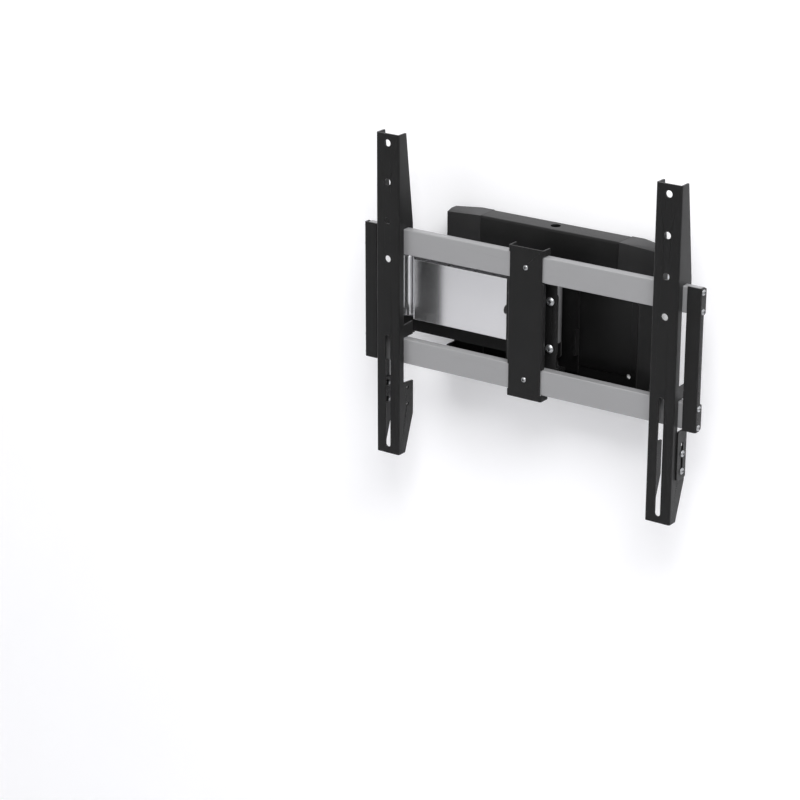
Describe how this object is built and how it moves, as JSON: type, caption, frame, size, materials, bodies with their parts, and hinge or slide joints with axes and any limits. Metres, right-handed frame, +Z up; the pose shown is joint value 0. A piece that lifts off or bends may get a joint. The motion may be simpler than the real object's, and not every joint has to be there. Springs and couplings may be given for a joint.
{
  "type": "full motion tv wall mount",
  "caption": "Wall mount for a flat screen: wall plate, folding double arm, tilting head, cross rails and two hook-on screen brackets with latches.",
  "frame": {"origin": "centre of the wall plate's back face, on the wall", "axes": "+X to the right seen from the room, +Y into the wall, +Z up; the arms are folded and point to -X"},
  "size_m": [0.4892, 0.092, 0.424],
  "materials": {
    "black_powder_coat": "fine-textured matt black powder coat on sheet steel",
    "black_plastic": "fine-grained black moulded plastic",
    "arm_aluminium": "smooth satin silver extrusion with a soft mirror gloss",
    "rail_aluminium": "matt silver-grey anodised extrusion",
    "zinc_steel": "bright zinc plate",
    "dark_steel": "dark blackened steel"
  },
  "bodies": {
    "wall_unit": {"wall_plate": "black_powder_coat", "left_end_cap": "black_plastic", "right_end_cap": "black_plastic", "pivot_bracket": "black_powder_coat", "wall_pivot_bolt": "dark_steel", "wall_pivot_nut": "zinc_steel", "wall_pivot_spacers": "black_plastic", "wall_pivot_washers": "zinc_steel"},
    "rear_arm": {"rear_arm": "black_powder_coat", "wall_pivot_sleeve": "rail_aluminium", "wall_pivot_bushes": "black_plastic", "elbow_pin": "dark_steel", "elbow_nut": "dark_steel"},
    "front_arm": {"front_arm": "arm_aluminium", "elbow_bushes": "black_plastic", "head_bushes": "black_plastic"},
    "head_pivot": {"head_pin": "dark_steel", "head_washers": "zinc_steel", "head_nut": "zinc_steel"},
    "swivel_head": {"swivel_yoke": "black_powder_coat", "left_tilt_bolt": "black_plastic", "right_tilt_bolt": "black_plastic"},
    "screen_frame": {"tilt_bracket": "black_powder_coat", "tilt_washers": "black_plastic", "tilt_bracket_screws": "zinc_steel", "tilt_bracket_nuts": "zinc_steel", "carrier_plate": "black_powder_coat", "centre_bracket": "black_powder_coat", "centre_bracket_screws": "zinc_steel", "centre_bracket_nuts": "zinc_steel", "upper_rail": "rail_aluminium", "lower_rail": "rail_aluminium", "left_end_plate": "black_powder_coat", "right_end_plate": "black_powder_coat", "left_end_screws": "zinc_steel", "right_end_screws": "zinc_steel"},
    "left_bracket": {"left_tv_bracket": "black_powder_coat", "left_latch_screws": "zinc_steel", "left_latch_nuts": "dark_steel"},
    "right_bracket": {"right_tv_bracket": "black_powder_coat", "right_latch_screws": "zinc_steel", "right_latch_nuts": "dark_steel"},
    "left_latch": {"left_latch": "black_powder_coat"},
    "right_latch": {"right_latch": "black_powder_coat"}
  },
  "joints": [
    {"name": "wall_swivel", "type": "hinge", "parent": "wall_unit", "child": "rear_arm", "pos_m": [0, -0.0155, 0], "axis": [0, 0, 1], "range_deg": [0, 85]},
    {"name": "elbow_swivel", "type": "hinge", "parent": "rear_arm", "child": "front_arm", "pos_m": [-0.21266, -0.0275, 0], "axis": [0, 0, 1], "range_deg": [-170, 0]},
    {"name": "head_swivel", "type": "hinge", "parent": "front_arm", "child": "head_pivot", "pos_m": [0, -0.0395, 0], "axis": [0, 0, 1], "range_deg": [0, 85]},
    {"name": "head_pan", "type": "hinge", "parent": "head_pivot", "child": "swivel_head", "pos_m": [0, -0.0395, 0], "axis": [0, 0, 1], "range_deg": [-4, 10]},
    {"name": "tilt", "type": "hinge", "parent": "swivel_head", "child": "screen_frame", "pos_m": [0, -0.0545, 0.003], "axis": [1, 0, 0], "range_deg": [-5, 10]},
    {"name": "left_bracket_slide", "type": "slide", "parent": "screen_frame", "child": "left_bracket", "axis": [1, 0, 0], "range_m": [-0.006, 0.1]},
    {"name": "right_bracket_slide", "type": "slide", "parent": "screen_frame", "child": "right_bracket", "axis": [-1, 0, 0], "range_m": [-0.006, 0.1]},
    {"name": "left_latch_slide", "type": "slide", "parent": "left_bracket", "child": "left_latch", "axis": [0, 0, -1], "range_m": [0, 0.012]},
    {"name": "right_latch_slide", "type": "slide", "parent": "right_bracket", "child": "right_latch", "axis": [0, 0, -1], "range_m": [0, 0.012]}
  ],
  "couplings": [
    {"joint": "elbow_swivel", "follows": "wall_swivel", "ratio": -2},
    {"joint": "head_swivel", "follows": "wall_swivel", "ratio": 1}
  ]
}
